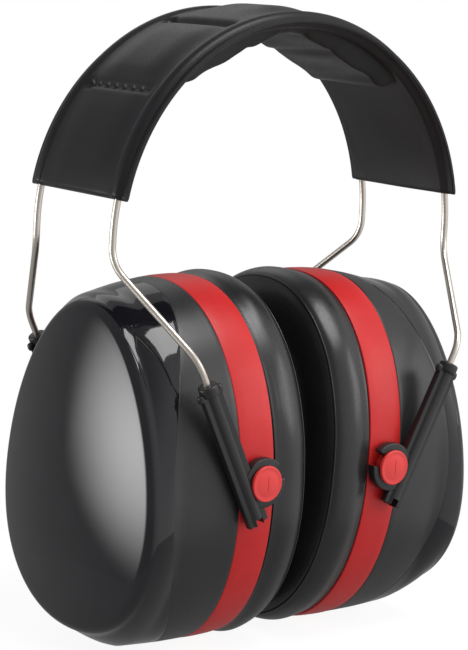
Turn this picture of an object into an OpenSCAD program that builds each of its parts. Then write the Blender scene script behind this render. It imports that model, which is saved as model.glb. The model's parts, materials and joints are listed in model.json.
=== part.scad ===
// Earmuff hearing protector: two cups that pivot between arms on a sprung twin-wire headband.
// X runs from ear to ear, -Y is the front, +Z is up. The origin is midway between the cups'
// pivots, at their height. Each cup is drawn on the +X side and mirrored for the left one.

/* [Headband] */
// Radius of the arch at the wires' centre lines
arch_r = 68.7; // [67:0.1:70]
// Height of the arch's centre above the cup pivots
arch_z = 73.4; // [72.5:0.1:75]
// Diameter of the spring wires
wire_d = 2.2; // [2:0.1:2.4]
// Distance of each wire from the middle plane
wire_y = 21.3; // [20.5:0.1:22]
// Width of the cover, from edge to edge
cover_w = 52.6; // [51.8:0.2:54]
// Angle from the crown to each end of the cover
cover_half = 79.7; // [76:0.1:82]
// Thickness of the pad under the crown
pad_t = 4; // [3:0.5:6]
// Angle from the crown to each end of the pad
pad_half = 42; // [36:1:46]

/* [Arms] */
// Distance of the cup pivots from the middle plane
pivot_x = 26.4; // [26:0.1:27]
// Lean of the arms, top outwards
arm_lean = 26.5; // [25:0.5:28]
// Distance from the pivot axis to the wire in the arm
arm_off = 6.8; // [6.6:0.1:7.2]
// Distance of the arms' wires from the middle plane
arm_y = 47.7; // [47.6:0.1:48.2]
// Length of the arm above the pivot
arm_up = 39.6; // [36:0.2:41]
// Length of the arm below the pivot
arm_down = 11; // [10:0.5:12]

/* [Cups] */
// Half depth of the coloured band, front to back
band_a = 45; // [44.8:0.1:45.2]
// Half height of the coloured band
band_b = 59.5; // [58:0.5:61]
// Width of the coloured band
band_w = 13.2; // [13:0.1:13.6]
// Depth of the cup from the band to its outermost point
cup_depth = 38; // [37:0.2:39]
// Wall thickness of the casings
wall = 2.2; // [2:0.1:2.4]
// Lean of the cups, top outwards
cup_lean = 2; // [0:0.5:3]

/* [Cushions] */
// Distance of the cushion's face from the middle plane
face_x = 4.2; // [4:0.1:5]
// Half depth of the ear opening, front to back
ear_a = 22.5; // [21.5:0.5:24]
// Half height of the ear opening
ear_b = 36; // [34:0.5:38]
// Thickness of the cushion's skin
skin_t = 0.8; // [0.6:0.1:1]

/* [Hidden] */

BLACK = [0.07, 0.07, 0.08];
SATIN = [0.12, 0.12, 0.13];
RED = [0.78, 0.15, 0.15];
STEEL = [0.72, 0.70, 0.67];
FOAM = [0.35, 0.35, 0.37];

$fn = 48;
SEG = 36;              // points round an oval
gap = 0.3;             // between pieces that only lie beside each other
wire_r = wire_d / 2;
run = 0.06;            // radial clearance of a running fit
sheet = 1;             // thickness of the cover's and the lining's material
crown_gap = 0.8;       // from the middle plane to a wire's end at the crown
flange = cover_w / 2;
bead_r = wire_r + 0.25;

// ---- ovals and lofts -------------------------------------------------------------------------

function signed_pow(v, p) = sign(v) * pow(abs(v), p);

// A superellipse at depth x: half depth a, half height b, exponent n, centre height zc. It can be
// narrower at the top by the share egg, lean inwards by lean at its top and sit yc off centre.
function oval(x, a, b, n, zc, egg = 0, lean = 0, yc = 0) = [
    for (i = [0 : SEG - 1])
        let (
            t = 360 * i / SEG,
            up = signed_pow(sin(t), 2 / n),
            z = zc + b * up
        )
            [x - lean * (z - zc), yc + a * signed_pow(cos(t), 2 / n) * (1 - egg * up), z]
];

function joined(lists) = [for (l = lists) for (p = l) p];

// Side faces between loop j and loop k of a loft.
function band_faces(j, k) = [
    for (i = [0 : SEG - 1])
        let (h = (i + 1) % SEG)
            [j * SEG + i, k * SEG + i, k * SEG + h, j * SEG + h]
];

// A closed solid through ovals in order of growing x, with flat ends.
module loft(loops) {
    last = len(loops) - 1;
    polyhedron(
        points = joined(loops),
        faces = concat(
            [[for (i = [0 : SEG - 1]) i]],
            joined([for (j = [0 : last - 1]) band_faces(j, j + 1)]),
            [[for (i = [0 : SEG - 1]) last * SEG + SEG - 1 - i]]
        ),
        convexity = 4
    );
}

// A closed ring through ovals that go once round its section.
module ring_loft(loops) {
    count = len(loops);
    polyhedron(
        points = joined(loops),
        faces = joined([for (j = [0 : count - 1]) band_faces(j, (j + 1) % count)]),
        convexity = 6
    );
}

// A straight oval tube from x0 to x1, with its outer half sizes and its wall.
module oval_tube(x0, x1, a, b, t, zc) {
    difference() {
        loft([oval(x0, a, b, 2.2, zc), oval(x1, a, b, 2.2, zc)]);
        loft([oval(x0 - 1, a - t, b - t, 2.2, zc), oval(x1 + 1, a - t, b - t, 2.2, zc)]);
    }
}

// ---- placing ---------------------------------------------------------------------------------

band_z = -1.5;                        // height of the band's centre
band_in = -band_w / 2;                // the band's edges, from the pivot axis
band_out = band_w / 2;
part_x = band_out + 0.55 * cup_depth; // parting line between the cup and its cap
part_a = band_a - 2.2;                // the cup's half sizes at the parting line
part_b = band_b - 2.5;
part_n = 2.3;
part_z = band_z - 0.8;

// A cup's own x starts at its pivot axis and runs outwards.
module cup_place(side) {
    mirror([side < 0 ? 1 : 0, 0, 0])
        translate([pivot_x, 0, 0])
            rotate([0, cup_lean, 0])
                children();
}

// Front pieces are the rear ones mirrored.
module end_place(end) {
    mirror([0, end < 0 ? 1 : 0, 0]) children();
}

module arm_place(side, end) {
    mirror([side < 0 ? 1 : 0, 0, 0])
        end_place(end)
            translate([pivot_x, 0, 0])
                rotate([0, arm_lean, 0])
                    children();
}

// ---- headband --------------------------------------------------------------------------------

// Turns a profile of [radius, y] about the arch's centre, half degrees to each side of the crown.
module arch(half) {
    translate([0, 0, arch_z])
        rotate([90, 0, 0])
            rotate([0, 0, 90 - half])
                rotate_extrude(angle = 2 * half, $fn = 96)
                    children();
}

cover_r = arch_r + bead_r - 0.2;            // inner radius of the cover's sheet
lip_r = arch_r - bead_r - sheet + 0.4;      // inner radius of the cover's thicker edges
lip_t = 2.6;
lip_w = 3.4;

module cover_profile() {
    difference() {
        union() {
            translate([cover_r, -flange]) square([sheet, 2 * flange]);
            for (s = [-1, 1]) {
                translate([arch_r, s * wire_y]) circle(r = bead_r + sheet);
                translate([lip_r, s * flange - (s > 0 ? lip_w : 0)]) square([lip_t, lip_w]);
            }
        }
        for (s = [-1, 1])
            translate([arch_r, s * wire_y]) circle(r = bead_r);
    }
}

module headband_cover() {
    color(BLACK)
        arch(cover_half)
            cover_profile();
}

lining_r = arch_r - bead_r - sheet - 0.2;   // outer radius of the lining sheet
pad_w = 33;                                 // width of the pad

module headband_lining() {
    color(BLACK)
        difference() {
            union() {
                arch(cover_half)
                    translate([lining_r - sheet, -flange]) square([sheet, 2 * flange]);
                arch(pad_half + 2)
                    translate([lining_r - pad_t - 2 * sheet, -pad_w / 2 - sheet])
                        square([pad_t + 2 * sheet, pad_w + 2 * sheet]);
            }
            arch(pad_half + 0.2)
                translate([lining_r - pad_t - sheet - 0.1, -pad_w / 2 - 0.1])
                    square([pad_t + 0.2, pad_w + 0.2]);
        }
}

module headband_pad() {
    color(FOAM)
        arch(pad_half)
            translate([lining_r - pad_t - sheet, -pad_w / 2])
                square([pad_t, pad_w]);
}

// ---- wires -----------------------------------------------------------------------------------

function unit(v) = v / norm(v);

bend_reach = 4;                             // how far each bend reaches along its two legs
hip_drop = 7.2;                             // from the arch's centre down to the upper bend
leg_end = -arm_down + 3;                    // the wire's lower end, along the arm
knee = 47.8;                                // the lower bend, along the arm
arm_dir = [sin(arm_lean), 0, cos(arm_lean)];
arm_side = [cos(arm_lean), 0, -sin(arm_lean)];
function on_arm(u) = [pivot_x, arm_y, 0] + arm_side * arm_off + arm_dir * u;

// Points of a bend at b, between the wire from a and the wire to c.
function bend(a, b, c) =
    let (p = b + unit(a - b) * bend_reach, q = b + unit(c - b) * bend_reach)
        [for (t = [0 : 0.25 : 1]) (1 - t) * (1 - t) * p + 2 * t * (1 - t) * b + t * t * q];

WIRE_SIDES = 12;
tube_r = wire_r / cos(180 / WIRE_SIDES);    // the tube's flats lie on the wire's true radius

// A ring of points round p, square to the direction d.
function wire_ring(p, d) =
    let (u = unit(cross([0, 1, 0], d)), v = cross(d, u))
        [for (i = [0 : WIRE_SIDES - 1])
            let (t = 360 * i / WIRE_SIDES)
                p + tube_r * (cos(t) * u + sin(t) * v)];

module tube(path) {
    last = len(path) - 1;
    rings = [for (i = [0 : last]) wire_ring(path[i], unit(path[min(i + 1, last)] - path[max(i - 1, 0)]))];
    n = WIRE_SIDES;
    polyhedron(
        points = joined(rings),
        faces = concat(
            [[for (i = [0 : n - 1]) i]],
            [for (j = [0 : last - 1]) for (i = [0 : n - 1])
                [j * n + i, (j + 1) * n + i, (j + 1) * n + (i + 1) % n, j * n + (i + 1) % n]],
            [[for (i = [0 : n - 1]) last * n + n - 1 - i]]
        )
    );
}

module wire(side, end) {
    hip = [arch_r, wire_y, arch_z];
    kink = [arch_r, wire_y, arch_z - hip_drop];
    low = on_arm(knee);
    foot = on_arm(leg_end);
    tube_end = on_arm(knee - bend_reach - 1);
    a0 = asin(crown_gap / arch_r);
    path = concat(
        [for (k = [0 : 15])
            let (f = a0 + (90 - a0) * k / 15)
                [arch_r * sin(f), wire_y, arch_z + arch_r * cos(f)]],
        bend(hip, kink, low),
        bend(kink, low, foot),
        [tube_end]
    );
    color(STEEL)
        mirror([side < 0 ? 1 : 0, 0, 0])
            end_place(end) {
                tube(path);
                translate([pivot_x, 0, 0])
                    rotate([0, arm_lean, 0])
                        translate([arm_off, arm_y, leg_end])
                            cylinder(r = wire_r, h = knee - bend_reach - 0.5 - leg_end);
            }
}

// ---- arms and studs --------------------------------------------------------------------------

rib_r = 2.35;          // the arm's round rib, which holds the wire
flange_w = 7.4;        // the arm's flat web, on both sides of the rib
flange_t = 2.6;
collar_r = 3.1;        // the collar where the wire enters
collar_h = 3;
lug_r = 1.2;           // the collar's two small lugs
fork = 2.6;            // width of the slot in the arm's lower end
fork_h = 2;            // its depth
neck_r = 4;            // the stud's neck, which the arm's clip turns on
head_r = 5.7;          // the stud's red head
head_t = 1.5;          // height of the head
head_side = 0.9;       // height of its straight side
head_edge = 0.3;       // the bevel round its face
head_dome = 24;        // radius of the head's slight dome
shank_r = 3.5;         // the stud's shank, which is pressed into the band
shank_y = 37.6;        // the shank's inner end
barb_t = 0.3;          // the barb at that end
barb_h = 0.8;
press = 0.02;          // radial clearance of the pressed shank
clip_r = 7.9;          // outside of the arm's clip
clip_y0 = 46;          // the clip's faces
clip_y1 = 49.2;
clip_slot = 4.8;       // width of the clip's opening

// A cylinder along +Y from y0 to y1.
module y_rod(r, y0, y1) {
    translate([0, y0, 0]) rotate([-90, 0, 0]) cylinder(r = r, h = y1 - y0);
}

module arm() {
    difference() {
        union() {
            translate([arm_off, arm_y, -arm_down])
                cylinder(r = rib_r, h = arm_up + arm_down);
            translate([arm_off - flange_w / 2, arm_y - flange_t / 2, -arm_down])
                cube([flange_w, flange_t, arm_up + arm_down - 2]);
            translate([arm_off, arm_y, arm_up - collar_h])
                cylinder(r = collar_r, h = collar_h);
            for (s = [-1, 1])
                translate([arm_off + s * (flange_w / 2 - 0.1), arm_y, arm_up - collar_h - 0.4])
                    sphere(r = lug_r);
            y_rod(clip_r, clip_y0, clip_y1);
        }
        translate([arm_off, arm_y, leg_end - 0.4])
            cylinder(r = wire_r + run, h = arm_up + arm_down);
        y_rod(neck_r + run, clip_y0 - 1, clip_y1 + 1);
        y_rod(head_r + gap, clip_y1, clip_y1 + 4);
        translate([-clip_r - 1, clip_y0 - 1, -clip_slot / 2])
            cube([clip_r, clip_y1 - clip_y0 + 2, clip_slot]);
        translate([arm_off - fork / 2, arm_y - 3, -arm_down - 1])
            cube([fork, 6, fork_h + 1]);
    }
}

module stud() {
    head_y = clip_y1 + 0.1;
    dome = [for (k = [0 : 6]) let (r = (head_r - head_edge) * (1 - k / 6))
        [r, head_y + head_t - head_dome + sqrt(head_dome * head_dome - r * r)]];
    y_rod(shank_r, shank_y, clip_y0 - 0.5);
    y_rod(shank_r + barb_t, shank_y, shank_y + barb_h);
    y_rod(neck_r, clip_y0 - 0.6, head_y + 0.05);
    rotate([-90, 0, 0])
        rotate_extrude()
            polygon(concat([[0, head_y], [head_r, head_y], [head_r, head_y + head_side]], dome));
}

// ---- cups ------------------------------------------------------------------------------------

crease_x = band_out + 0.775 * cup_depth;    // the edge between the cap's skirt and its face
crease_a = part_a - 1.3;
crease_b = part_b - 3.7;
corner_r = 3.8;                             // rounding of that edge
dome_h = band_out + cup_depth - crease_x - corner_r;
spigot_t = 2.3;                             // from the cup's skin to the cap's spigot
boss_r = 6.4;                               // the bosses that take the studs
collar_t = 2;                               // the shell's collar inside the band
collar_x = band_in + 2.4;                   // where that collar starts
spigot_w = 1.8;                             // the spigot's own wall
spigot_h = 2.5;                             // how far it reaches into the cup's shell
seam_x = band_out + 24.4;                   // the parting line's outermost point
seam_z = -5;                                // that point's height
seam_r = 111;                               // radius of the parting line's bow, seen from the front

// An oval of the cap's skin, s of the way from the parting line to the crease.
function cap_oval(x, a, b, s) =
    oval(x, a, b, part_n - 0.2 * s, part_z + 2.7 * s, 0.18 * s, 0.06 * s, -1.9 * s);

// The cap's ovals, from the parting line to the outermost point, made t smaller all round.
function cap_loops(t) = concat(
    [
        cap_oval(part_x, part_a - t, part_b - t, 0),
        cap_oval(
            (part_x + crease_x) / 2,
            (part_a + crease_a) / 2 + 0.5 - t,
            (part_b + crease_b) / 2 + 0.5 - t,
            0.5
        ),
        cap_oval(crease_x, crease_a - t, crease_b - t, 1)
    ],
    [for (f = [30, 55, 80]) let (r = corner_r - t)
        cap_oval(
            crease_x + r * sin(f),
            crease_a - t - r * (1 - cos(f)),
            crease_b - t - r * (1 - cos(f)),
            1
        )],
    [for (q = [0.75, 0.45, 0.15])
        cap_oval(
            crease_x + corner_r - t + dome_h * (1 - q * q),
            (crease_a - corner_r) * q,
            (crease_b - corner_r) * q,
            1
        )]
);

// The side of the cup, from depth x0 to the crease, made t smaller all round.
function side_loops(x0, t) = let (cap = cap_loops(t)) concat(
    [oval(x0, band_a - t, band_b - t, 2.2, band_z)],
    [for (k = [0 : 2]) cap[k]]
);

// The whole cup outside the band, made t smaller all round.
module cup_skin(t) {
    loft(concat([oval(band_out + gap, band_a - t, band_b - t, 2.2, band_z)], cap_loops(t)));
}

// The space on the inner side of the parting line, moved outwards by grow.
module seam_side(grow) {
    translate([seam_x - seam_r, 0, seam_z])
        rotate([90, 0, 0])
            cylinder(r = seam_r + grow, h = 2 * band_a + 20, center = true, $fn = 120);
}

module outer_cap() {
    step = 1.5;
    color(BLACK)
        difference() {
            union() {
                difference() {
                    cup_skin(0);
                    seam_side(0);
                }
                difference() {
                    loft(side_loops(band_out + gap, spigot_t + gap));
                    seam_side(-spigot_h);
                }
            }
            difference() {
                cup_skin(wall);
                seam_side(step);
            }
            loft(side_loops(band_out - 1, spigot_t + gap + spigot_w));
        }
}

module cup_shell() {
    inner_a = band_a - wall - gap;
    inner_b = band_b - wall - gap;
    hole_a = inner_a - collar_t;
    hole_b = inner_b - collar_t;
    color(SATIN)
        difference() {
            union() {
                intersection() {
                    cup_skin(0);
                    seam_side(-gap);
                }
                loft([
                    oval(collar_x, inner_a, inner_b, 2.2, band_z),
                    oval(band_out + 1, inner_a, inner_b, 2.2, band_z)
                ]);
            }
            loft(concat(
                [for (x = [collar_x - 1, band_out + 1.4]) oval(x, hole_a, hole_b, 2.2, band_z)],
                side_loops(band_out + 2, spigot_t)
            ));
            for (s = [-1, 1])
                end_place(s) y_rod(boss_r + gap, shank_y - 3, band_a + 5);
        }
}

module band() {
    color(RED)
        difference() {
            union() {
                oval_tube(band_in, band_out, band_a, band_b, wall, band_z);
                for (s = [-1, 1])
                    end_place(s) y_rod(boss_r, shank_y + 1, band_a + 0.3);
            }
            for (s = [-1, 1])
                end_place(s) y_rod(shank_r + press, shank_y - 5, band_a + 5);
        }
}

casing_a = 36;                        // half depth of the inner casing at its rim
casing_b = 49.5;                      // half height of the inner casing at its rim
casing_t = 2;                         // its wall
rim_in = 2.7;                         // its flange, which lies inside the band
rim_t = 1.8;
plate_x = face_x + 14.1 - pivot_x;    // the cushion plate's inner face
plate_t = 1.4;
plate_in = 0.5;                       // from the band's outline to the plate's
ear_rim = 4;                          // from the ear opening to the plate's edge
ring_in = casing_t + 0.4;             // the plate's ring, which fits in the casing's mouth
mouth_x = plate_x + plate_t + gap;    // the inner casing's rim

// The casing's shoulder, from its wall to its crown: depth, narrowing front to back, narrowing in
// height, exponent, height of the centre.
CASING = [
    [22, 1, 1.5, 2.3, -2],
    [31, 5, 7, 2.4, -3],
    [35.5, 14, 18, 2.5, -5],
    [37, 26, 35.5, 2.5, -6]
];

// The inner casing's ovals, made t smaller all round.
function casing_loops(x0, t) = concat(
    [oval(x0, casing_a - t, casing_b - t, 2.2, band_z)],
    [for (c = CASING) oval(c[0] - t, casing_a - c[1] - t, casing_b - c[2] - t, c[3], c[4])]
);

module inner_casing() {
    color(SATIN)
        difference() {
            union() {
                loft(casing_loops(mouth_x + 0.2, 0));
                loft([for (x = [mouth_x, mouth_x + rim_t])
                    oval(x, band_a - rim_in, band_b - rim_in, 2.2, band_z)]);
            }
            loft(casing_loops(mouth_x - 1, casing_t));
            for (s = [-1, 1])
                end_place(s) y_rod(boss_r + gap, shank_y, band_a + 5);
        }
}

liner_x = mouth_x + 4.6;              // the foam liner's inner face
liner_t = 3;
foam_gap = 0.8;                       // between the foam and the casing

module foam_liner() {
    t = casing_t + foam_gap + 0.2;
    color(FOAM)
        loft([for (x = [liner_x, liner_x + liner_t])
            oval(x, casing_a - t, casing_b - t, 2.2, band_z)]);
}

module foam_insert() {
    loops = casing_loops(liner_x + liner_t + gap, casing_t + foam_gap);
    color(FOAM)
        loft([for (k = [0 : 2]) loops[k]]);
}

module cushion_plate() {
    color(SATIN)
        difference() {
            union() {
                loft([for (x = [plate_x, plate_x + plate_t])
                    oval(x, band_a - plate_in, band_b - plate_in, 2.2, band_z)]);
                loft([for (x = [plate_x + plate_t - 0.1, liner_x - gap])
                    oval(x, casing_a - ring_in, casing_b - ring_in, 2.2, band_z)]);
            }
            loft([for (x = [plate_x - 1, liner_x])
                oval(x, ear_a + ear_rim, ear_b + ear_rim, 2.1, band_z)]);
        }
}

cushion_x0 = face_x - pivot_x;              // the cushion's face
cushion_x1 = plate_x - gap;                 // its back
cushion_mid = (cushion_x0 + cushion_x1) / 2;
cushion_half = (cushion_x1 - cushion_x0) / 2;
cushion_out_a = band_a + 1.3;               // outer half sizes of the cushion
cushion_out_b = band_b + 1;

// The cushion's section, made t smaller all round, swept round the ear opening.
function cushion_loops(t) = [
    for (j = [0 : 13])
        let (
            f = 360 * j / 14,
            x = cushion_mid - (cushion_half - t) * signed_pow(cos(f), 0.8),
            s = signed_pow(sin(f), 0.8)
        )
            oval(
                x,
                (cushion_out_a + ear_a) / 2 + ((cushion_out_a - ear_a) / 2 - t) * s,
                (cushion_out_b + ear_b) / 2 + ((cushion_out_b - ear_b) / 2 - t) * s,
                2.15,
                band_z
            )
];

module cushion_skin() {
    color(BLACK)
        difference() {
            ring_loft(cushion_loops(0));
            ring_loft(cushion_loops(skin_t));
        }
}

module cushion_foam() {
    color(FOAM)
        ring_loft(cushion_loops(skin_t + 0.15));
}

// ---- nodes -----------------------------------------------------------------------------------

headband_cover();
headband_lining();
headband_pad();
wire(-1, -1);  // left_front_wire
wire(-1, 1);  // left_rear_wire
wire(1, -1);  // right_front_wire
wire(1, 1);  // right_rear_wire
color(SATIN) arm_place(-1, -1) arm();  // left_front_arm
color(SATIN) arm_place(-1, 1) arm();  // left_rear_arm
color(SATIN) arm_place(1, -1) arm();  // right_front_arm
color(SATIN) arm_place(1, 1) arm();  // right_rear_arm
color(RED) arm_place(-1, -1) stud();  // left_front_stud
color(RED) arm_place(-1, 1) stud();  // left_rear_stud
color(RED) arm_place(1, -1) stud();  // right_front_stud
color(RED) arm_place(1, 1) stud();  // right_rear_stud
cup_place(-1) outer_cap();  // left_outer_cap
cup_place(1) outer_cap();  // right_outer_cap
cup_place(-1) cup_shell();  // left_cup_shell
cup_place(1) cup_shell();  // right_cup_shell
cup_place(-1) band();  // left_band
cup_place(1) band();  // right_band
cup_place(-1) inner_casing();  // left_inner_casing
cup_place(1) inner_casing();  // right_inner_casing
cup_place(-1) foam_insert();  // left_foam_insert
cup_place(1) foam_insert();  // right_foam_insert
cup_place(-1) foam_liner();  // left_foam_liner
cup_place(1) foam_liner();  // right_foam_liner
cup_place(-1) cushion_plate();  // left_cushion_plate
cup_place(1) cushion_plate();  // right_cushion_plate
cup_place(-1) cushion_skin();  // left_cushion_skin
cup_place(1) cushion_skin();  // right_cushion_skin
cup_place(-1) cushion_foam();  // left_cushion_foam
cup_place(1) cushion_foam();  // right_cushion_foam
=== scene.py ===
"""Earmuff hearing protector: the looks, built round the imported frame.

Lengths are in millimetres until a mesh is made. A cup's station is (x, half depth, half height,
exponent, centre height): an oval section of the cup at a distance x outwards from its pivot."""

import json
import math

import bmesh
import bpy
import numpy as np
from mathutils import Matrix, Vector


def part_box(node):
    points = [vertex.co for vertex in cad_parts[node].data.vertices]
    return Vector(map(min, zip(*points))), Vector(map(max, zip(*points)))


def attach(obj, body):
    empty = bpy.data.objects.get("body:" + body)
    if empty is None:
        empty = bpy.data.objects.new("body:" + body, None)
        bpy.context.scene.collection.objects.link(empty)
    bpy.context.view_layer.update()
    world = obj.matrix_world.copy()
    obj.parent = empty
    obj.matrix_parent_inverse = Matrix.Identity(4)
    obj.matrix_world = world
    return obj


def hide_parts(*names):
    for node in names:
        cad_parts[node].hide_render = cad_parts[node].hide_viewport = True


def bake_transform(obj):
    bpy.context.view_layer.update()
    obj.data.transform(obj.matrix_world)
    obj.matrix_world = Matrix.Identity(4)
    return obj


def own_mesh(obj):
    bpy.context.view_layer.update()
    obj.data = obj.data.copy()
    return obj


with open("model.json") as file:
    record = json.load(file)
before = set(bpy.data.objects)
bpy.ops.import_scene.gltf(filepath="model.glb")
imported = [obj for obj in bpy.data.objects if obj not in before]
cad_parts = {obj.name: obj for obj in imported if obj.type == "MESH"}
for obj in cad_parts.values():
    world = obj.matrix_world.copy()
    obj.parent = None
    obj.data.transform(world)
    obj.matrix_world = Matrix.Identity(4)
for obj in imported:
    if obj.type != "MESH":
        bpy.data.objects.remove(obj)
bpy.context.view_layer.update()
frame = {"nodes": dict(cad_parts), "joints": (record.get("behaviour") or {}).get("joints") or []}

MM = 0.001
SIDES = {"left": -1, "right": 1}
ENDS = {"front": -1, "rear": 1}
JOINTS = {joint["name"]: joint for joint in frame["joints"]}

# ---- sizes, from the frame and a few driving dimensions ---------------------------------------

PIVOT_X = JOINTS["right_tilt"]["pos_m"][0] / MM

# The arch: the wires' centre line, and the strap over it.
CROWN_Z = JOINTS["right_spread"]["pos_m"][2] / MM
ARCH_R = 68.7
ARCH_Z = CROWN_Z - ARCH_R
WIRE_R = 1.1
WIRE_Y = 21.3
COVER_HALF = math.radians(79.7)
FLANGE_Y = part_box("headband_cover")[1].y / MM

# The arms: how far the wire's line is from the stud and from the middle of the cup, and their ends.
ARM_DOWN = np.array(JOINTS["right_height"]["axis"])
ARM_LEAN = math.atan2(-ARM_DOWN[0], -ARM_DOWN[2])
ARM_OFF = 6.8
ARM_Y = 47.7
ARM_TOP = 39.6
ARM_BOTTOM = -11.0

# The cups: the band's half sizes, exponent and centre, and the depth of each part of the cup.
CUP_LEAN = math.radians(2.0)
BAND_A, BAND_B, BAND_N, BAND_Z = 45.0, 59.5, 2.2, -1.5
BAND_HALF = 6.6
PART_X = 27.5
CAP_DEPTH = 44.6
PLATE_X = -8.1
PLATE_WIDE = 18.0
FACE_X = 4.2 - PIVOT_X
EAR_A, EAR_B = 22.5, 36.0

# The radius at the middle of a turned end, which leaves a loop there and not a point.
TIP_R = 0.05


# ---- mesh helpers -----------------------------------------------------------------------------

def grid_faces(rows, cols, wrap_rows=False):
    """Quads over rows of points that each close on themselves, as the rows may too."""
    faces = []
    for j in range(rows if wrap_rows else rows - 1):
        k = (j + 1) % rows
        for i in range(cols):
            h = (i + 1) % cols
            faces.append((j * cols + i, k * cols + i, k * cols + h, j * cols + h))
    return faces


def mesh_object(name, points, faces, sharp=40):
    """A smooth-shaded object from points in millimetres, with its normals outwards."""
    mesh = bpy.data.meshes.new(name)
    mesh.from_pydata((np.asarray(points, float).reshape(-1, 3) * MM).tolist(), [], faces)
    build = bmesh.new()
    build.from_mesh(mesh)
    bmesh.ops.recalc_face_normals(build, faces=build.faces)
    build.to_mesh(mesh)
    build.free()
    mesh.shade_smooth()
    mesh.set_sharp_from_angle(angle=math.radians(sharp))
    piece = bpy.data.objects.new(name, mesh)
    bpy.context.scene.collection.objects.link(piece)
    return piece


def lofted(name, rows, wrap_rows=False, sharp=40):
    """Closed loops of points joined into a skin; without wrap_rows both ends are capped."""
    rows = np.asarray(rows, float)
    count, cols = rows.shape[:2]
    faces = grid_faces(count, cols, wrap_rows)
    if not wrap_rows:
        faces.append(tuple(range(cols)))
        faces.append(tuple((count - 1) * cols + i for i in range(cols))[::-1])
    return mesh_object(name, rows, faces, sharp)


def spline_rows(keys, steps):
    """Rows of numbers through the keys on a Catmull-Rom curve, with that many steps between keys."""
    keys = np.asarray(keys, float)
    padded = np.vstack([2 * keys[0] - keys[1], keys, 2 * keys[-1] - keys[-2]])
    out = []
    for k in range(1, len(padded) - 2):
        p0, p1, p2, p3 = padded[k - 1:k + 3]
        for t in np.arange(steps) / steps:
            out.append(0.5 * (2 * p1 + (p2 - p0) * t + (2 * p0 - 5 * p1 + 4 * p2 - p3) * t * t
                              + (3 * p1 - p0 - 3 * p2 + p3) * t ** 3))
    out.append(keys[-1])
    return np.array(out)


def oval(station, count=160):
    """A superellipse loop for a station.

    Three more numbers may follow: how much narrower it is at the top, how far its top leans
    inwards for its height, and how far it sits off centre, towards the rear."""
    x, a, b, n, zc = station[:5]
    egg, lean, yc = station[5:] if len(station) > 5 else (0, 0, 0)
    t = np.linspace(0, 2 * math.pi, count, endpoint=False)
    c, s = np.cos(t), np.sin(t)
    up = np.sign(s) * np.abs(s) ** (2 / n)
    y = yc + a * np.sign(c) * np.abs(c) ** (2 / n) * (1 - egg * up)
    return np.stack([x - lean * b * up, y, zc + b * up], 1)


def inset(station, t, shift=0.0):
    """A station made t smaller all round and moved along x."""
    x, a, b = station[:3]
    return (x + shift, a - t, b - t, *station[3:])


def smooth_step(low, high, value):
    """A smooth rise from 0 at low to 1 at high; low may be the larger."""
    t = np.clip((value - low) / (high - low), 0, 1)
    return t * t * (3 - 2 * t)


def applied(piece):
    """The piece with its modifiers made part of its mesh."""
    graph = bpy.context.evaluated_depsgraph_get()
    mesh = bpy.data.meshes.new_from_object(piece.evaluated_get(graph))
    piece.modifiers.clear()
    piece.data = mesh
    return piece


def combined(base, other, operation):
    """base united with, or cut by, other, which is used up."""
    cut = base.modifiers.new("cut", "BOOLEAN")
    cut.operation = operation
    cut.solver = "EXACT"
    cut.object = other
    applied(base)
    bpy.data.objects.remove(other)
    return base


# ---- placing ----------------------------------------------------------------------------------

def mirrored(side=1, end=1):
    """From the right rear quarter to another: side and end are 1 or -1."""
    return Matrix.Diagonal((side, end, 1, 1))


def cup_matrix(side):
    """From a cup's own place, x outwards from its pivot axis, to the row frame."""
    lean = Matrix.Rotation(CUP_LEAN, 4, "Y")
    return mirrored(side) @ Matrix.Translation((PIVOT_X * MM, 0, 0)) @ lean


def arm_matrix(side, end):
    """From an arm's own place, z up the arm and y away from the cup, to the row frame."""
    lean = Matrix.Rotation(ARM_LEAN, 4, "Y")
    return mirrored(side, end) @ Matrix.Translation((PIVOT_X * MM, 0, 0)) @ lean


def placed(piece, matrix):
    """The piece with its mesh moved by a matrix, and its normals still outwards."""
    piece.data.transform(matrix)
    if matrix.to_3x3().determinant() < 0:
        piece.data.flip_normals()
    piece.data.update()
    return piece


def finish_piece(piece, material, slot, body, *nodes):
    """Gives a piece its material, makes it ride on a body and stand for CAD nodes."""
    piece.data.materials.clear()
    piece.data.materials.append(material)
    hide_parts(*nodes)
    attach(piece, body)
    return piece


# ---- shader helpers ---------------------------------------------------------------------------

def node(tree, kind, **values):
    """A shader node with some of its settings and inputs given by name, _ for a space in an input's."""
    made = tree.nodes.new(kind)
    for key, value in values.items():
        name = key.replace("_", " ")
        if name in made.inputs:
            made.inputs[name].default_value = value
        else:
            setattr(made, key, value)
    return made


def grey(value):
    return (value, value, value, 1)


# ---- camera, light and floor ------------------------------------------------------------------

CAMERA = {
    "azimuth": -38.23,
    "elevation": 9.17,
    "roll": 3.21,
    "distance": 692.2,
    "target": (-3.6, 0.0, 40.55),
    "lens": 115.7,
}

# What the object is lit by and reflects: brighter towards BRIGHT_SIDE, where cosines are compared.
BRIGHT_SIDE = (0.62, -0.75, 0.2)
BRIGHT_COSINES = (0.15, 0.95)
BRIGHTNESS = (0.36, 0.9)

# A tall soft glow on the left of it. The azimuth turns from -X towards the rear, in degrees; the
# height, width and tall are shares of a unit sphere.
GLOW = {"azimuth": 26, "height": -0.07, "width": 0.52, "tall": 0.32, "strength": 8.8}

# Rectangular lights: name, place and size in metres, power in watts.
SOFTBOXES = [
    ("top_light", (0.13, -0.36, 0.97), (0.62, 0.46), 6.0),
    ("front_light", (0.85, -0.80, 0.45), (0.6, 0.6), 3.0),
    ("back_light", (0.35, 0.95, 0.75), (0.7, 0.5), 0.5),
]
LIGHTS_AIM = (0, 0, 0.04)

FLOOR_R = 0.13
FLOOR_GAP = 0.4
FLOOR_GREY = 0.14
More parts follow.
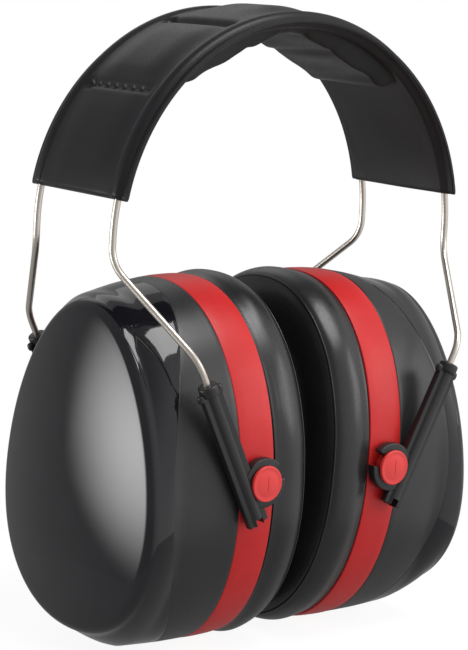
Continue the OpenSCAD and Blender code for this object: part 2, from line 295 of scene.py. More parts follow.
# The floor's own light, as other surfaces see it and as the camera sees it.
FLOOR_LIGHT = (0.27, 0.92)


def add_camera():
    """The camera at the photograph's viewing angle."""
    az, el, roll = (math.radians(CAMERA[key]) for key in ("azimuth", "elevation", "roll"))
    back = Vector((math.sin(az) * math.cos(el), -math.cos(az) * math.cos(el), math.sin(el)))
    right = Vector((math.cos(az), math.sin(az), 0))
    up = back.cross(right)
    turned = right * math.cos(roll) + up * math.sin(roll)
    upright = up * math.cos(roll) - right * math.sin(roll)
    data = bpy.data.cameras.new("camera")
    data.lens = CAMERA["lens"]
    data.sensor_width = 36
    data.clip_start = 0.01
    camera = bpy.data.objects.new("camera", data)
    place = (Vector(CAMERA["target"]) + back * CAMERA["distance"]) * MM
    turn = Matrix((turned, upright, back)).transposed().to_4x4()
    camera.matrix_world = Matrix.Translation(place) @ turn
    bpy.context.scene.collection.objects.link(camera)
    bpy.context.scene.camera = camera


def add_softbox(name, place, size, power):
    """A rectangular area light at place, turned to the object."""
    data = bpy.data.lights.new(name, "AREA")
    data.shape = "RECTANGLE"
    data.size, data.size_y = size
    data.energy = power
    light = bpy.data.objects.new(name, data)
    turn = (Vector(LIGHTS_AIM) - Vector(place)).to_track_quat("-Z", "Y").to_matrix().to_4x4()
    light.matrix_world = Matrix.Translation(place) @ turn
    bpy.context.scene.collection.objects.link(light)


def studio_gradient(tree, where):
    """The surround's brightness, which rises smoothly towards the bright side."""
    facing = node(tree, "ShaderNodeVectorMath", operation="DOT_PRODUCT")
    facing.inputs[1].default_value = Vector(BRIGHT_SIDE).normalized()
    tree.links.new(where, facing.inputs[0])
    ramp = node(tree, "ShaderNodeMapRange", interpolation_type="SMOOTHSTEP",
                From_Min=BRIGHT_COSINES[0], From_Max=BRIGHT_COSINES[1],
                To_Min=BRIGHTNESS[0], To_Max=BRIGHTNESS[1])
    tree.links.new(facing.outputs["Value"], ramp.inputs["Value"])
    return ramp.outputs["Result"]


def studio_glow(tree, where):
    """The brightness that the glow adds."""
    turn = math.radians(GLOW["azimuth"])
    spot = node(tree, "ShaderNodeMapping", vector_type="TEXTURE",
                Location=(-math.cos(turn), math.sin(turn), GLOW["height"]),
                Rotation=(0, 0, math.pi / 2 - turn), Scale=(GLOW["width"], 1, GLOW["tall"]))
    tree.links.new(where, spot.inputs["Vector"])
    ball = node(tree, "ShaderNodeTexGradient", gradient_type="SPHERICAL")
    tree.links.new(spot.outputs["Vector"], ball.inputs["Vector"])
    soft = node(tree, "ShaderNodeMapRange", interpolation_type="SMOOTHSTEP", To_Max=GLOW["strength"])
    tree.links.new(ball.outputs["Fac"], soft.inputs["Value"])
    return soft.outputs["Result"]


def add_surround():
    """White for the camera; for light and reflections a studio, bright in front and dim behind."""
    world = bpy.data.worlds.new("surround")
    bpy.context.scene.world = world
    world.use_nodes = True
    tree = world.node_tree
    studio = tree.nodes["Background"]
    studio.inputs["Color"].default_value = grey(1)
    backdrop = node(tree, "ShaderNodeBackground", Color=grey(1))
    where = node(tree, "ShaderNodeTexCoord").outputs["Generated"]
    total = node(tree, "ShaderNodeMath")
    tree.links.new(studio_gradient(tree, where), total.inputs[0])
    tree.links.new(studio_glow(tree, where), total.inputs[1])
    tree.links.new(total.outputs["Value"], studio.inputs["Strength"])
    mix = node(tree, "ShaderNodeMixShader")
    tree.links.new(node(tree, "ShaderNodeLightPath").outputs["Is Camera Ray"], mix.inputs[0])
    tree.links.new(studio.outputs[0], mix.inputs[1])
    tree.links.new(backdrop.outputs[0], mix.inputs[2])
    tree.links.new(mix.outputs[0], tree.nodes["World Output"].inputs["Surface"])


def floor_paper():
    """Pale paper that gives off some light of its own."""
    paper = bpy.data.materials.new("floor_paper")
    paper.use_nodes = True
    tree = paper.node_tree
    shader = tree.nodes["Principled BSDF"]
    shader.inputs["Base Color"].default_value = grey(FLOOR_GREY)
    shader.inputs["Roughness"].default_value = 0.9
    shader.inputs["Specular IOR Level"].default_value = 0.1
    shader.inputs["Emission Color"].default_value = grey(1)
    lift = node(tree, "ShaderNodeMapRange", To_Min=FLOOR_LIGHT[0], To_Max=FLOOR_LIGHT[1])
    tree.links.new(node(tree, "ShaderNodeLightPath").outputs["Is Camera Ray"], lift.inputs["Value"])
    tree.links.new(lift.outputs["Result"], shader.inputs["Emission Strength"])
    return paper


def add_floor():
    """A round pale floor just under the cups."""
    floor_z = min(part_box(f"{side}_cup_shell")[0].z for side in SIDES) - FLOOR_GAP * MM
    turns = np.linspace(0, 2 * math.pi, 96, endpoint=False)
    corners = [(FLOOR_R * math.cos(a), FLOOR_R * math.sin(a), floor_z) for a in turns]
    mesh = bpy.data.meshes.new("floor")
    mesh.from_pydata(corners, [], [tuple(range(len(corners)))])
    mesh.materials.append(floor_paper())
    floor = bpy.data.objects.new("floor", mesh)
    bpy.context.scene.collection.objects.link(floor)


def add_studio():
    """Soft lights round the object, a pale floor and a plain surround."""
    for name, place, size, power in SOFTBOXES:
        add_softbox(name, place, size, power)
    add_surround()
    add_floor()
    bpy.context.scene.view_settings.view_transform = "Standard"


# ---- materials --------------------------------------------------------------------------------

def texture(tree, kind, scale, detail=4.0):
    """A height from 0 to 1: noise, cells or creases at a scale per metre, in object coordinates."""
    where = node(tree, "ShaderNodeTexCoord").outputs["Object"]
    if kind == "noise":
        made = node(tree, "ShaderNodeTexNoise", Scale=scale, Detail=detail, Roughness=0.6)
        tree.links.new(where, made.inputs["Vector"])
        return made.outputs["Fac"]
    creases = kind == "creases"
    made = node(tree, "ShaderNodeTexVoronoi", Scale=scale,
                feature="DISTANCE_TO_EDGE" if creases else "F1")
    tree.links.new(where, made.inputs["Vector"])
    ramp = node(tree, "ShaderNodeMapRange", From_Max=0.25 if creases else 0.7)
    tree.links.new(made.outputs["Distance"], ramp.inputs["Value"])
    return ramp.outputs["Result"]


def ranged(tree, height, low, high):
    """A height turned into a value from low to high, with more contrast in its middle."""
    made = node(tree, "ShaderNodeMapRange", From_Min=0.3, From_Max=0.7, To_Min=low, To_Max=high)
    tree.links.new(height, made.inputs["Value"])
    return made.outputs["Result"]


def stacked_bumps(tree, bumps):
    """The normal after each of the bumps, which are (kind, scale per metre, height, strength)."""
    normal = None
    for kind, scale, height, strength in bumps:
        bump = node(tree, "ShaderNodeBump", Strength=strength, Distance=height * MM)
        tree.links.new(texture(tree, kind, scale), bump.inputs["Height"])
        if normal:
            tree.links.new(normal, bump.inputs["Normal"])
        normal = bump.outputs["Normal"]
    return normal


def make_material(name, colours, roughness, bumps, patch=60, fine=900, **shader_values):
    """A principled material: two colours in soft patches, a roughness range and a stack of bumps.

    patch and fine are the scales per metre of the patches and of the changes of roughness."""
    material = bpy.data.materials.new(name)
    material.use_nodes = True
    tree = material.node_tree
    shader = tree.nodes["Principled BSDF"]
    for key, value in shader_values.items():
        shader.inputs[key.replace("_", " ")].default_value = value
    mix = node(tree, "ShaderNodeMix", data_type="RGBA")
    mix.inputs["A"].default_value = (*colours[0], 1)
    mix.inputs["B"].default_value = (*colours[1], 1)
    tree.links.new(ranged(tree, texture(tree, "noise", patch), 0, 1), mix.inputs["Factor"])
    tree.links.new(mix.outputs["Result"], shader.inputs["Base Color"])
    rough = ranged(tree, texture(tree, "noise", fine, detail=6), *roughness)
    tree.links.new(rough, shader.inputs["Roughness"])
    tree.links.new(stacked_bumps(tree, bumps), shader.inputs["Normal"])
    return material


def make_materials():
    """Every material, by the name of its slot in the record."""
    return {
        "cap": make_material(
            "gloss_black_shell", ((0.006, 0.006, 0.008), (0.010, 0.010, 0.013)), (0.035, 0.09),
            [("noise", 35, 0.05, 0.25), ("noise", 2600, 0.004, 0.15)],
            IOR=1.5),
        "shell": make_material(
            "satin_black_shell", ((0.016, 0.016, 0.017), (0.022, 0.022, 0.023)), (0.32, 0.42),
            [("noise", 1900, 0.02, 0.35), ("noise", 60, 0.06, 0.2)], IOR=1.5),
        "band": make_material(
            "red_band", ((0.56, 0.014, 0.016), (0.63, 0.020, 0.020)), (0.36, 0.46),
            [("noise", 1700, 0.012, 0.25), ("noise", 70, 0.05, 0.2)],
            IOR=1.45, Specular_IOR_Level=0.4),
        "stud": make_material(
            "red_stud", ((0.72, 0.035, 0.035), (0.80, 0.05, 0.045)), (0.30, 0.42),
            [("noise", 1500, 0.015, 0.3)], IOR=1.48),
        "arm": make_material(
            "black_arm", ((0.008, 0.008, 0.009), (0.012, 0.012, 0.013)), (0.30, 0.42),
            [("noise", 1500, 0.02, 0.4), ("noise", 300, 0.04, 0.2)], IOR=1.5),
        "casing": make_material(
            "black_casing", ((0.018, 0.018, 0.019), (0.026, 0.026, 0.027)), (0.45, 0.6),
            [("noise", 1300, 0.03, 0.4)], IOR=1.5),
        "wire": make_material(
            "spring_steel", ((0.60, 0.55, 0.49), (0.66, 0.61, 0.55)), (0.30, 0.36),
            [("noise", 60, 0.01, 0.1)], patch=60, fine=120, Metallic=1.0),
        "cover": make_material(
            "black_vinyl", ((0.008, 0.008, 0.009), (0.012, 0.012, 0.014)), (0.34, 0.44),
            [("creases", 1500, 0.02, 0.25), ("noise", 320, 0.06, 0.25),
             ("noise", 60, 0.3, 0.25)],
            IOR=1.5, Specular_IOR_Level=0.22, Coat_Weight=0.08, Coat_Roughness=0.2),
        "lining": make_material(
            "black_lining", ((0.009, 0.008, 0.008), (0.015, 0.013, 0.013)), (0.40, 0.52),
            [("creases", 1300, 0.04, 0.35), ("noise", 220, 0.12, 0.35)],
            IOR=1.48, Specular_IOR_Level=0.35, Sheen_Weight=0.04, Sheen_Roughness=0.45),
        "cushion": make_material(
            "cushion_vinyl", ((0.012, 0.012, 0.013), (0.018, 0.018, 0.019)), (0.26, 0.36),
            [("noise", 420, 0.03, 0.2), ("noise", 90, 0.25, 0.2)],
            IOR=1.5, Sheen_Weight=0.03),
        "foam": make_material(
            "grey_foam", ((0.05, 0.05, 0.055), (0.10, 0.10, 0.105)), (0.9, 1.0),
            [("cells", 1100, 0.5, 0.9), ("noise", 500, 0.3, 0.5)],
            patch=700, Sheen_Weight=0.2),
    }


# ---- cups -------------------------------------------------------------------------------------

# The cap: its parting line's station, then the crease and the corner where its side meets its face.
PART = (PART_X, BAND_A - 2.2, BAND_B - 2.5, 2.3, BAND_Z - 0.8)
CREASE_X = PART_X + 8.5
CREASE_A, CREASE_B = PART[1] - 1.3, PART[2] - 3.7
# How the crease's oval differs from the parting line's: exponent, centre height, egg, lean, offset.
CREASE_CHANGE = (-0.2, 2.7, 0.18, 0.06, -1.9)
CORNER_R = 3.8
CORNER_TURN = math.radians(78)
DOME_H = CAP_DEPTH - CREASE_X - CORNER_R
DOME_SHARE = 0.985
SIDE_STEPS = 10
SIDE_BULGE = 0.5
CAP_WALL = 2.2
SHELL_WALL = 2.4


def cap_station(x, a, b, s):
    """A station of the cap's skin, s of the way from the parting line to the crease."""
    power, rise, egg, lean, offset = (change * s for change in CREASE_CHANGE)
    return (x, a, b, PART[3] + power, PART[4] + rise, egg, lean, offset)


def cap_stations(t, corner_steps=14, dome_steps=18):
    """The cap's stations from the parting line to the middle of its face, t inside its skin."""
    rows = []
    for k in range(SIDE_STEPS + 1):
        s = k / SIDE_STEPS
        bulge = 4 * s * (1 - s) * SIDE_BULGE
        rows.append(cap_station(PART_X + (CREASE_X - PART_X) * s,
                                PART[1] + (CREASE_A - PART[1]) * s + bulge - t,
                                PART[2] + (CREASE_B - PART[2]) * s + bulge - t, s))
    r = CORNER_R - t
    for k in range(1, corner_steps + 1):
        f = CORNER_TURN * k / corner_steps
        inwards = t + r * (1 - math.cos(f))
        rows.append(cap_station(CREASE_X + r * math.sin(f), CREASE_A - inwards, CREASE_B - inwards, 1))
    x_face, a_face, b_face = rows[-1][:3]
    for k in range(1, dome_steps + 1):
        q = 1 - k / dome_steps * DOME_SHARE
        rows.append(cap_station(x_face + DOME_H * (1 - q * q), a_face * q, b_face * q, 1))
    return rows


SHELL_START = BAND_HALF + 0.3
SHELL_SKIN = [
    (SHELL_START, BAND_A, BAND_B, BAND_N, BAND_Z),
    (BAND_HALF + 10.5, BAND_A - 0.8, BAND_B - 1.0, 2.25, BAND_Z - 0.4),
    (PART_X - 0.3, *PART[1:]),
]


# The parting line bows towards the band at the top and the bottom: a circle in the side view.
SEAM_X, SEAM_Z, SEAM_R = 31.0, -5.0, 111.0


def skin_at(rows, x, x_rows):
    """The skin's y and z at depth x, along each of its lengthwise lines."""
    return np.stack([[np.interp(x[:, j], x_rows, rows[:, j, k]) for j in range(rows.shape[1])]
                     for k in (1, 2)])


def bowed(stations):
    """Ovals along the stations, slid along the cup's skin so that the parting line is bowed."""
    points = np.array([oval(s) for s in stations])
    shell = spline_rows([(*s, 0, 0, 0) for s in SHELL_SKIN], 6)
    reference = np.vstack([shell, cap_stations(0)[:SIDE_STEPS + 1]])
    skin = np.array([oval(s) for s in reference])
    depth = np.array([s[0] for s in stations])[:, None] * np.ones(points.shape[1])
    seam = SEAM_X - SEAM_R + np.sqrt(SEAM_R ** 2 - (points[..., 2] - SEAM_Z) ** 2)
    inner = SHELL_START + (depth - SHELL_START) * (seam - SHELL_START) / (PART_X - SHELL_START)
    outer = CREASE_X - (CREASE_X - depth) * (CREASE_X - seam) / (CREASE_X - PART_X)
    moved = np.where(depth < PART_X, inner, outer)
    moved = np.where((depth < SHELL_START) | (depth > CREASE_X), depth, moved)
    shift = skin_at(skin, moved, reference[:, 0]) - skin_at(skin, depth, reference[:, 0])
    points[..., 0] += moved - depth
    points[..., 1] += shift[0].T
    points[..., 2] += shift[1].T
    return points


def rounded_edge(station, radius, outwards, steps=4):
    """Stations that turn an edge in, from the skin to a face square to it."""
    rows = []
    for k in range(1, steps + 1):
        f = math.pi / 2 * k / steps
        rows.append(inset(station, radius * (1 - math.cos(f)), outwards * radius * math.sin(f)))
    return rows


def closed_profile(skin, wall, radius=0.5):
    """A shell's whole section: its skin, a rounded edge at each end and its inner wall."""
    first = rounded_edge(skin[0], radius, -1)[::-1]
    last = rounded_edge(skin[-1], radius, 1)
    skin = np.array(skin)
    inner = skin[::-1].copy()
    inner[:, 1:3] -= wall
    return np.vstack([first, skin, last, inner])


def outer_cap(side, sign, material):
    """The domed glossy casing: its skin, the rounded edge at the parting line and its inner wall."""
    skin = cap_stations(0)
    edge = rounded_edge(skin[0], 0.45, -1)
    wall = cap_stations(CAP_WALL, 4, 5)
    piece = lofted(f"{side}_outer_cap_skin", bowed(skin[::-1] + edge + wall))
    placed(piece, cup_matrix(sign))
    return finish_piece(piece, material, "cap", f"{side}_cup", f"{side}_outer_cap")


def cup_shell(side, sign, material):
    """The satin shell between the band and the parting line."""
    skin = spline_rows(SHELL_SKIN, 6)
    rows = closed_profile(skin, SHELL_WALL)
    piece = lofted(f"{side}_cup_shell_skin", bowed(rows), wrap_rows=True)
    placed(piece, cup_matrix(sign))
    return finish_piece(piece, material, "shell", f"{side}_cup", f"{side}_cup_shell")


def band(side, sign, material):
    """The red band, a little higher in its middle than at its edges."""
    keys = [(x, BAND_A + rise, BAND_B + rise, BAND_N, BAND_Z)
            for x, rise in ((-BAND_HALF + 0.4, 0), (-3, 0.25), (3, 0.25), (BAND_HALF - 0.4, 0))]
    rows = closed_profile(spline_rows(keys, 4), SHELL_WALL, 0.4)
    piece = lofted(f"{side}_band_skin", [oval(s) for s in rows], wrap_rows=True)
    placed(piece, cup_matrix(sign))
    return finish_piece(piece, material, "band", f"{side}_cup", f"{side}_band")


def cushion_plate(side, sign, material):
    """The ring that the cushion clips on by."""
    keys = [(PLATE_X + x, BAND_A - t, BAND_B - t, BAND_N, BAND_Z) for x, t in ((0.2, 0.6), (1.2, 0.5))]
    outer = closed_profile(np.array(keys), PLATE_WIDE, 0.2)
    piece = lofted(f"{side}_cushion_plate_ring", [oval(s) for s in outer], wrap_rows=True)
    placed(piece, cup_matrix(sign))
    return finish_piece(piece, material, "casing", f"{side}_cup", f"{side}_cushion_plate")


# The cushion's section, from its seam round the outside, the back, the ear opening and the face:
# (x from the face, share of the way from the ear opening to the outside).
CUSHION_SECTION = [
    (2.5, 0.898), (3.5, 0.935), (5.0, 0.966), (7.0, 0.99), (9.0, 1.0), (11.0, 0.992),
    (12.8, 0.973), (14.2, 0.959), (14.95, 0.956), (15.1, 0.951), (14.7, 0.947), (13.8, 0.93),
    (13.5, 0.83), (13.6, 0.5), (13.5, 0.2), (12.8, 0.08), (10.0, 0.02), (6.0, 0.0),
    (3.2, 0.05), (1.3, 0.16), (0.25, 0.34), (0.0, 0.5), (0.25, 0.64), (0.8, 0.76), (1.5, 0.84),
]
CUSHION_SEAM = [(1.85, 0.866), (1.72, 0.886), (1.9, 0.902), (2.2, 0.902), (2.35, 0.892)]
CUSHION_N = 2.15
CUSHION_MIDDLE, CUSHION_REACH = 7, 6


def cushion_loops(side, section):
    """The cushion's loops of points without its waves, out to the size of its CAD skin."""
    low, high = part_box(f"{side}_cushion_skin")
    outer_a = (high.y - low.y) / 2 / MM
    outer_b = (high.z - low.z) / 2 / MM
    return np.array([oval((FACE_X + x, EAR_A + (outer_a - EAR_A) * share,
                           EAR_B + (outer_b - EAR_B) * share, CUSHION_N, BAND_Z), 208)
                     for x, share in section])


def cushion_waves(section, count, sign):
    """How far the outside of the skin stands out, by row and by angle round the cushion."""
    angle = np.linspace(0, 2 * math.pi, count, endpoint=False)
    wave = (0.30 * np.sin(angle * 2 + sign) + 0.18 * np.sin(angle * 5 + 2 * sign)
            + 0.10 * np.sin(angle * 13 + 0.5) * (1 + np.sin(angle * 3)))
    bulge = np.clip(1 - ((section[:, 0] - CUSHION_MIDDLE) / CUSHION_REACH) ** 2, 0, 1)[:, None]
    outside = smooth_step(0.7, 0.95, section[:, 1])[:, None]
    return outside * bulge * wave[None, :]


def cushion_skin(side, sign, material):
    """The cushion's ring, with a welded seam near its face."""
    section = np.vstack([spline_rows(CUSHION_SECTION, 6), spline_rows(CUSHION_SEAM, 3)])
    points = cushion_loops(side, section)
    away = points - np.array([0, 0, BAND_Z])
    away[..., 0] = 0
    away /= np.linalg.norm(away, axis=2, keepdims=True)
    points += away * cushion_waves(section, points.shape[1], sign)[..., None]
    piece = lofted(f"{side}_cushion", points, wrap_rows=True, sharp=45)
    placed(piece, cup_matrix(sign))
    finish_piece(piece, material, "cushion", f"{side}_cup",
                 f"{side}_cushion_skin", f"{side}_cushion_foam")
    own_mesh(piece)
    return piece


FOAM_DEPTH = 6.3
# The foam seen through the ear opening, from its middle out and round its edge:
# (x from its front, half depth, half height).
FOAM_FACE = [(-1.0, 1, 1.5), (-0.6, 20, 30), (0, 30, 43.5)]
FOAM_EDGE = [(0.6, 32.5, 46), (2.8, 33.2, 46.8), (3, 1, 1.5)]


def foam_liner(side, sign, material):
    """The foam sheet at the bottom of the ear opening, a little dished."""
    front = PLATE_X + FOAM_DEPTH
    rows = np.vstack([spline_rows(FOAM_FACE, 8), FOAM_EDGE])
    loops = [oval((front + x, a, b, BAND_N, BAND_Z)) for x, a, b in rows]
    piece = lofted(f"{side}_foam_sheet", loops)
    placed(piece, cup_matrix(sign))
    finish_piece(piece, material, "foam", f"{side}_cup", f"{side}_foam_liner", f"{side}_foam_insert")
    return piece


# ---- arms and studs ---------------------------------------------------------------------------

def lathe(name, profile, count=72, sharp=35):
    """A solid turned about its own +Y, from a profile of (radius, y)."""
    t = np.linspace(0, 2 * math.pi, count, endpoint=False)
    rows = [np.stack([r * np.cos(t), np.full(count, y), r * np.sin(t)], 1) for r, y in profile]
    return lofted(name, rows, sharp=sharp)


def prism(name, outline, low, high, bevel=0.3):
    """An outline of (x, z) drawn out along Y from low to high, with bevelled edges."""
    count = len(outline)
    points = [(x, y, z) for y in (low, high) for x, z in outline]
    faces = grid_faces(2, count) + [tuple(range(count)), tuple(range(count, 2 * count))[::-1]]
    piece = mesh_object(name, points, faces)
    if bevel:
        edges = piece.modifiers.new("edges", "BEVEL")
        edges.width = bevel * MM
        edges.segments = 3
        edges.limit_method = "ANGLE"
        edges.angle_limit = math.radians(40)
        applied(piece)
    return piece


def arc_points(radius, first, last, count):
    """Points along an arc round the stud, from one angle to another in degrees."""
    angles = np.radians(np.linspace(first, last, count))
    return [(radius * math.cos(a), radius * math.sin(a)) for a in angles]


def rectangle(middle, half, low, high):
    """An outline in (x, z), half to each side of the middle."""
    return [(middle - half, low), (middle + half, low), (middle + half, high), (middle - half, high)]


def resharpened(piece, angle=35):
    """Smooth shading again after a cut, with sharp edges past an angle in degrees."""
    piece.data.shade_smooth()
    piece.data.set_sharp_from_angle(angle=math.radians(angle))


def upright_rod(name, radius, low, high, rounding, centre, count=40):
    """A round rod along the arm with rounded ends."""
    quarter = [math.pi / 2 * k / 4 for k in range(5)]
    neck, foot, top = radius - rounding, low + rounding, high - rounding
    profile = [(TIP_R, low)]
    profile += [(neck + rounding * math.sin(f), foot - rounding * math.cos(f)) for f in quarter]
    profile += [(neck + rounding * math.cos(f), top + rounding * math.sin(f)) for f in quarter]
    profile.append((TIP_R, high))
    t = np.linspace(0, 2 * math.pi, count, endpoint=False)
    rows = [np.stack([centre[0] + r * np.cos(t), centre[1] + r * np.sin(t), np.full(count, z)], 1)
            for r, z in profile]
    return lofted(name, rows)


# An arm: half sizes of the flange, then the radius, height or place of what is joined to it.
FLANGE_HALF, FLANGE_T = 3.7, 1.2
RIB_R = 2.35
COLLAR_R, COLLAR_H = 3.15, 3.4
LUG_R, LUG_OFF = 1.25, 3.6
CLIP_OUT, CLIP_IN = 7.9, 4.15
CLIP_Y = (46.0, 49.2)
NOTCH_HALF, NOTCH_H = 1.3, 2.2


def arm(side, sign, end, way, material):
    """An arm: a flange and a rib with the wire's bore, a collar at its top, a clip round the stud."""
    rib = (ARM_OFF, ARM_Y)
    flange = rectangle(ARM_OFF, FLANGE_HALF, ARM_BOTTOM, ARM_TOP - 3)
    piece = prism(f"{side}_{end}_arm_moulding", flange, ARM_Y - FLANGE_T, ARM_Y + FLANGE_T)
    combined(piece, upright_rod("rib", RIB_R, ARM_BOTTOM - 0.2, ARM_TOP - 1, 0.5, rib), "UNION")
    combined(piece, upright_rod("collar", COLLAR_R, ARM_TOP - COLLAR_H, ARM_TOP, 0.7, rib), "UNION")
    for lug in (-1, 1):
        beside = (ARM_OFF + lug * LUG_OFF, ARM_Y)
        combined(piece, upright_rod("lug", LUG_R, ARM_TOP - 4.4, ARM_TOP - 1.6, 1.0, beside), "UNION")
    clip = arc_points(CLIP_OUT, -162, 162, 49) + arc_points(CLIP_IN, 150, -150, 37)
    combined(piece, prism("clip", clip, *CLIP_Y, 0.35), "UNION")
    notch = rectangle(ARM_OFF, NOTCH_HALF, ARM_BOTTOM - 2, ARM_BOTTOM + NOTCH_H)
    combined(piece, prism("notch", notch, ARM_Y - 4, ARM_Y + 4, 0), "DIFFERENCE")
    bore = upright_rod("bore", WIRE_R + 0.12, ARM_BOTTOM + 3, ARM_TOP + 2, 0.05, rib)
    combined(piece, bore, "DIFFERENCE")
    resharpened(piece)
    placed(piece, arm_matrix(sign, way))
    return finish_piece(piece, material, "arm", f"{side}_yoke", f"{side}_{end}_arm")


STUD_R = 5.7
STUD_TOP = 50.7
STUD_RIM = 50.1
STUD_DOME = 24.0
# The barb and the shaft up to the underside of the head: (radius, y).
STUD_SHAFT = [(TIP_R, 37.6), (3.5, 37.6), (3.8, 37.9), (3.8, 38.2), (3.5, 38.5), (3.5, 45.4),
              (3.95, 45.5), (3.95, 49.25)]


def stud_profile():
    """The stud's section from its inner end to the middle of its low domed head."""
    profile = STUD_SHAFT + [(STUD_R - 0.25, 49.25), (STUD_R, 49.45), (STUD_R, STUD_RIM)]
    shoulder = STUD_R - 0.4
    for k in range(1, 5):
        f = math.pi / 2 * k / 4
        profile.append((shoulder + 0.4 * math.cos(f), STUD_RIM + 0.35 * math.sin(f)))
    for k in range(1, 9):
        r = shoulder * (1 - k / 8)
        profile.append((max(r, TIP_R), STUD_TOP - STUD_DOME + math.sqrt(STUD_DOME ** 2 - r * r)))
    return profile


def stud(side, sign, end, way, material):
    """A stud with a fine groove across its head."""
    piece = lathe(f"{side}_{end}_stud_moulding", stud_profile())
    groove = prism("groove", rectangle(0, 0.1, -5, 5), STUD_TOP - 0.18, STUD_TOP + 1, 0)
    combined(piece, groove, "DIFFERENCE")
    resharpened(piece)
    placed(piece, mirrored(sign, way) @ Matrix.Translation((PIVOT_X * MM, 0, 0)))
    return finish_piece(piece, material, "stud", f"{side}_cup", f"{side}_{end}_stud")


# ---- wires ------------------------------------------------------------------------------------

def rounded_path(corners, radii, steps=10):
    """A path through corners, each rounded with a curve that starts that far from it."""
    corners = [Vector(c) for c in corners]
    path = [corners[0]]
    for before, corner, after, reach in zip(corners, corners[1:], corners[2:], radii):
        p = corner + (before - corner).normalized() * reach
        q = corner + (after - corner).normalized() * reach
        for k in range(steps + 1):
            t = k / steps
            path.append(p * (1 - t) ** 2 + corner * 2 * t * (1 - t) + q * t * t)
    path.append(corners[-1])
    return path


def tube(name, path, radius, count=20):
    """A round tube along a path, with flat ends."""
    points = np.array([tuple(p) for p in path])
    ahead = np.gradient(points, axis=0)
    ahead /= np.linalg.norm(ahead, axis=1, keepdims=True)
    across = np.cross([0, 1, 0], ahead)
    across /= np.linalg.norm(across, axis=1, keepdims=True)
    over = np.cross(ahead, across)
    t = np.linspace(0, 2 * math.pi, count, endpoint=False)
    rows = (points[:, None] + radius * (np.cos(t)[None, :, None] * across[:, None]
                                        + np.sin(t)[None, :, None] * over[:, None]))
    return lofted(name, rows)


def on_arm(u):
    """The point of the right rear wire's line that is u up the arm from the pivot's level."""
    along = Vector((math.sin(ARM_LEAN), 0, math.cos(ARM_LEAN)))
    across = Vector((math.cos(ARM_LEAN), 0, -math.sin(ARM_LEAN)))
    return Vector((PIVOT_X, ARM_Y, 0)) + across * ARM_OFF + along * u


# Where the leg turns off below the arch and where it meets the arm's line, and how far from each
# corner its bend starts.
LEG_DROP = 7.2
KNEE_U = 47.8
LEG_BENDS = (5.5, 5.0)


def wire(side, sign, end, way, material):
    """Half of a spring wire, from beside the crown down to its end inside the arm."""
    angles = np.linspace(0.8 / ARCH_R, math.pi / 2, 64)
    arch = [Vector((ARCH_R * math.sin(a), WIRE_Y, ARCH_Z + ARCH_R * math.cos(a))) for a in angles]
    corners = [arch[-1], (ARCH_R, WIRE_Y, ARCH_Z - LEG_DROP), on_arm(KNEE_U), on_arm(ARM_BOTTOM + 4)]
    legs = rounded_path(corners, LEG_BENDS)
    piece = tube(f"{side}_{end}_spring_wire", arch[:-1] + legs, WIRE_R)
    placed(piece, mirrored(sign, way))
    piece.data.materials.append(material)
    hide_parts(f"{side}_{end}_wire")
    bend_with_wires(piece)
    return piece


def bend_with_wires(piece):
    """Bakes the piece's placing into its mesh."""
    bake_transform(piece)


# ---- headband cover and lining ----------------------------------------------------------------

# Angles from the crown: the two welded cross seams on each side, and the pad's end.
SEAM_FAR = math.radians(50)
SEAM_NEAR = math.radians(20)
PAD_HALF = math.radians(42)
# The pad's underside is straight at this distance from the arch's centre, facing this angle.
PAD_CHORD_R = 60.2
PAD_CHORD_TURN = math.radians(24)
PAD_FOLD = math.radians(17.5)
COVER_T, LINING_T = 0.9, 0.8
BEAD_H, BEAD_HALF = 2.55, 2.9
STITCHES, STITCH_GAP = 6, 4.6
DIMPLE_Y = 16.6
STRAP_STEPS, STRAP_ACROSS = 221, 151


def cover_puff(turn):
    """How far the foam lifts the cover between its cross seams."""
    crown = 1.8 * smooth_step(SEAM_NEAR, SEAM_NEAR * 0.1, turn)
    side = (0.75 * smooth_step(SEAM_NEAR, SEAM_NEAR * 1.5, turn)
            * smooth_step(SEAM_FAR, SEAM_FAR * 0.85, turn))
    low = 0.35 * smooth_step(SEAM_FAR, SEAM_FAR * 1.15, turn)
    return crown + side + low


def cover_seams(turn, y):
    """How deep the cross seams, the stitches and a dimple at each seam's end are pressed in."""
    depth = np.zeros_like(turn)
    reach = smooth_step(17.8, 15.5, np.abs(y))
    for seam, deep, wide in ((SEAM_FAR, 0.9, 1.4), (SEAM_NEAR, 1.9, 2.0)):
        depth += reach * deep * np.exp(-((turn - seam) * ARCH_R / wide) ** 2)
        depth += 1.3 * np.exp(-((turn - seam) * ARCH_R / 1.8) ** 2 - ((y - DIMPLE_Y) / 1.8) ** 2)
    for k in range(STITCHES):
        spot = (k - (STITCHES - 1) / 2) * STITCH_GAP
        away = ((turn - SEAM_FAR) * ARCH_R) ** 2 + (y - spot) ** 2
        depth += 0.55 * np.exp(-away / 0.75 ** 2)
    return depth


def cover_height(a, y):
    """How far the cover's outer face stands over the wires' centre line, at angle a and across y."""
    w = np.abs(y)
    bead = BEAD_H * np.sqrt(np.clip(1 - ((w - WIRE_Y) / BEAD_HALF) ** 2, 0, 1))
    flange = 0.55
    middle = 1.75 + 0.25 * smooth_step(18.5, 10, w)
    base = np.maximum(np.where(w < WIRE_Y, middle, flange), bead)
    return base + smooth_step(18.5, 6, w) * cover_puff(np.abs(a)) - cover_seams(np.abs(a), y)


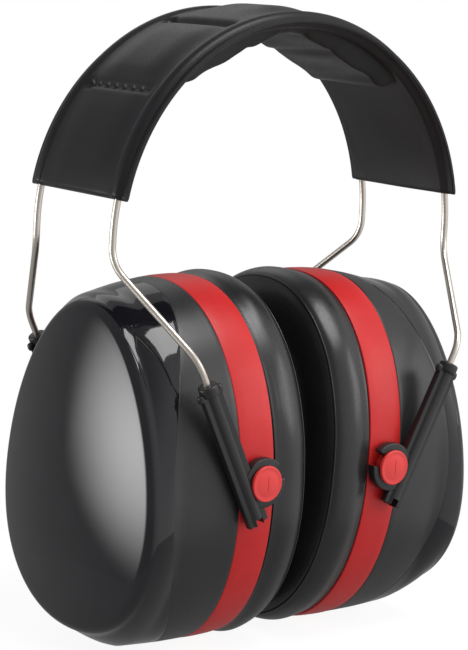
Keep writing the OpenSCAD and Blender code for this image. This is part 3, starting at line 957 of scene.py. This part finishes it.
def lining_height(a, y):
    """How far the lining's inner face hangs below the wires' centre line.

    The pad spans each side of the crown almost straight, with a fold across it and a ridge at
    its end."""
    w = np.abs(y)
    turn = np.abs(a)
    base = 0.7 + 1.9 * smooth_step(FLANGE_Y - 1.8, FLANGE_Y - 4.4, w)
    pad = smooth_step(20.0, 16.0, w) * smooth_step(PAD_HALF + 0.010, PAD_HALF - 0.030, turn)
    straight = PAD_CHORD_R / np.cos(np.clip(turn, math.radians(4.5), 1) - PAD_CHORD_TURN)
    fold = 0.6 * np.exp(-((turn - PAD_FOLD - y * 0.0012) / 0.035) ** 2)
    wave = 0.18 * np.sin(a * 21 + y * 0.10 + 0.6) + 0.12 * np.sin(a * 34 - y * 0.16 + 1.3)
    ridge = 0.7 * np.exp(-((turn - PAD_HALF + 0.07) / 0.045) ** 2)
    sag = (0.3 * np.sin(y * 0.12 + a * 6) * smooth_step(PAD_HALF, 1.2, turn)
           * smooth_step(22, 16, w))
    return base + pad * (ARCH_R - 2.6 - straight - fold + wave + ridge) + sag


def end_roll(a):
    """How much of the strap's thickness is left near its end, where the sheet is turned over."""
    t = np.clip((np.abs(a) - COVER_HALF) * ARCH_R / 1.6 + 1, 0, 1)
    return 0.25 + 0.75 * np.sqrt(1 - t * t)


def strap_points(angles, across, height):
    """Points over the arch at the given heights from the wires' centre line."""
    a, y = np.meshgrid(angles, across, indexing="ij")
    r = ARCH_R + height
    return np.stack([r * np.sin(a), y, ARCH_Z + r * np.cos(a)], 2)


def strap_half(side, kind, outer, inner, edge, material, node_names):
    """Half of the cover or the lining, from the crown out: a closed sheet between two heights."""
    sign = SIDES[side]
    angles = np.linspace(0, COVER_HALF, STRAP_STEPS)
    half = FLANGE_Y - edge
    across = np.linspace(-half, half, STRAP_ACROSS)
    a, y = np.meshgrid(angles, across, indexing="ij")
    top = strap_points(angles, across, outer(sign * a, y) * end_roll(a))
    under = strap_points(angles, across, inner(sign * a, y) * end_roll(a))
    piece = lofted(f"{side}_{kind}_half", np.concatenate([top, under[:, ::-1]], axis=1), sharp=60)
    placed(piece, mirrored(sign))
    piece.data.materials.append(material)
    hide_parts(*node_names)
    bend_with_wires(piece)
    return piece


def headband(materials):
    """Both halves of the cover, and of the lining with the pad in it."""
    for side in SIDES:
        strap_half(side, "cover", cover_height, lambda a, y: cover_height(a, y) - COVER_T, 0.0,
                   materials["cover"], ["headband_cover"])
        piece = strap_half(side, "lining", lambda a, y: LINING_T - lining_height(a, y),
                           lambda a, y: -lining_height(a, y), 0.3,
                           materials["lining"], ["headband_lining", "headband_pad"])


# ---- the whole object -------------------------------------------------------------------------

add_camera()
add_studio()
MATERIALS = make_materials()
headband(MATERIALS)
for side, sign in SIDES.items():
    outer_cap(side, sign, MATERIALS["cap"])
    cup_shell(side, sign, MATERIALS["shell"])
    band(side, sign, MATERIALS["band"])
    cushion_plate(side, sign, MATERIALS["casing"])
    cushion_skin(side, sign, MATERIALS["cushion"])
    foam_liner(side, sign, MATERIALS["foam"])
    for end, way in ENDS.items():
        arm(side, sign, end, way, MATERIALS["arm"])
        stud(side, sign, end, way, MATERIALS["stud"])
        wire(side, sign, end, way, MATERIALS["wire"])
    casing = frame["nodes"][f"{side}_inner_casing"]
    casing.data.materials.clear()
    casing.data.materials.append(MATERIALS["casing"])
